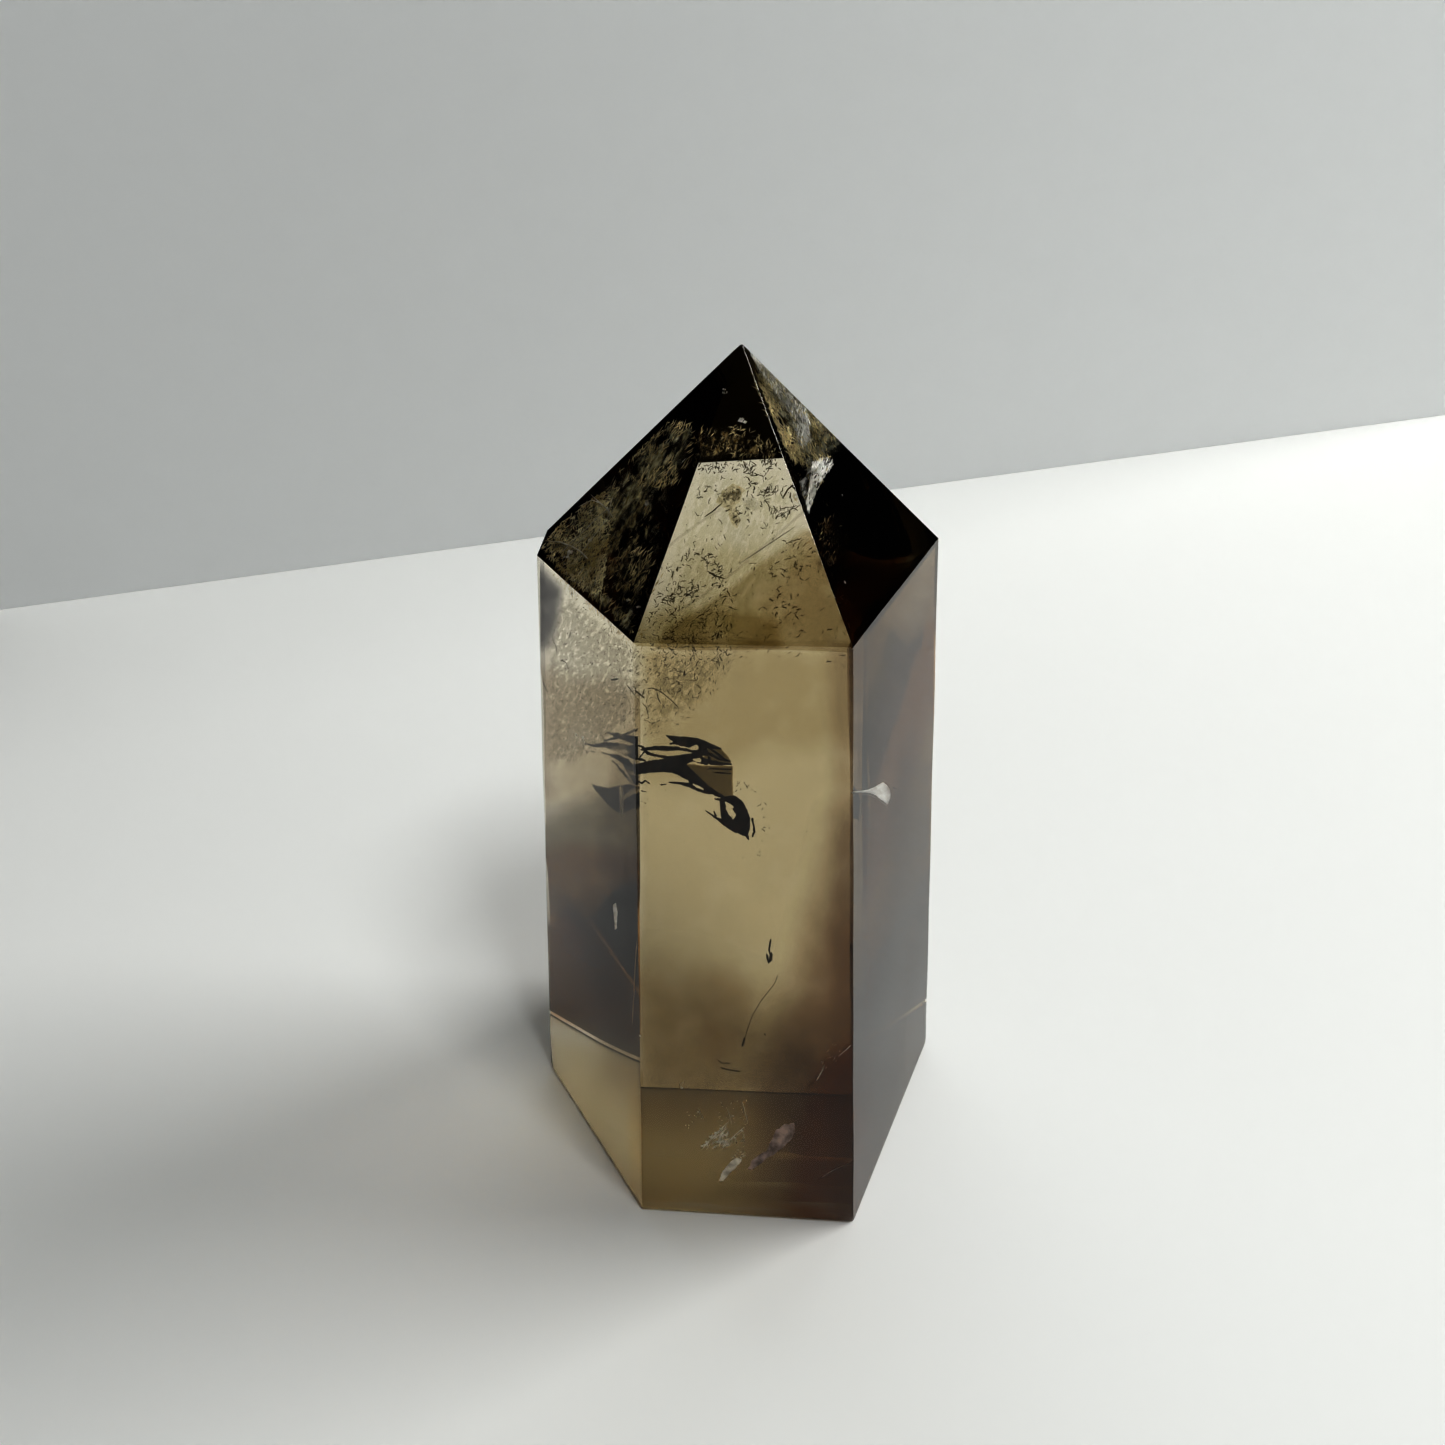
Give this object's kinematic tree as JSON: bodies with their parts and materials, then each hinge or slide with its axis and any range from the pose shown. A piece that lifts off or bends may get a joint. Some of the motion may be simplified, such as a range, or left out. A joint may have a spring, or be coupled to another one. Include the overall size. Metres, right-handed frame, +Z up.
{
  "type": "smoky quartz tower",
  "caption": "Polished smoky quartz crystal point, a tapering hexagonal column with a facetted tip, standing on its flat sawn base.",
  "frame": {"origin": "on the plane of the flat base, under the middle of the outline", "axes": "+Z up along the crystal to its tip, -Y out of the front prism face, +X to that face's right"},
  "size_m": [0.0488, 0.0386, 0.1001],
  "materials": {
    "smoky_quartz": "polished, see-through smoky brown quartz with inclusions"
  },
  "bodies": {
    "root": {"quartz_tower": "smoky_quartz"}
  },
  "joints": []
}
